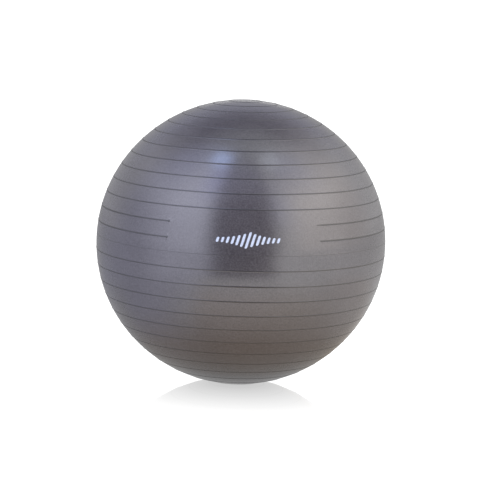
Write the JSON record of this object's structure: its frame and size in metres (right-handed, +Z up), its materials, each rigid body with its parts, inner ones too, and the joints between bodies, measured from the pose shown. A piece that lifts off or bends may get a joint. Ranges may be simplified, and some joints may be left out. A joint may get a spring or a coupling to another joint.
{
  "type": "exercise ball",
  "caption": "Large inflated exercise ball with raised moulded rings, a plain front panel, and a recessed push-in valve plug at the back.",
  "frame": {"origin": "centre of the flat patch the ball stands on, at floor level", "axes": "+Z up along the axis the moulded rings run round, -Y out of the plain panel at the front, +Y towards the valve"},
  "size_m": [0.6504, 0.6504, 0.6385],
  "materials": {
    "ball_skin": "soft PVC, pearl graphite grey, satin gloss",
    "seat_vinyl": "soft PVC, dark grey, satin",
    "plug_plastic": "polyethylene, near black, satin",
    "print_ink": "printed vinyl ink, pale grey, satin"
  },
  "bodies": {
    "ball": {"ball_shell": "ball_skin", "valve_seat": "seat_vinyl"},
    "plug": {"valve_plug": "plug_plastic"}
  },
  "joints": [
    {"name": "plug_pull", "type": "slide", "parent": "ball", "child": "plug", "axis": [0, 0.9804, 0.1971], "range_m": [0, 0.03]}
  ]
}
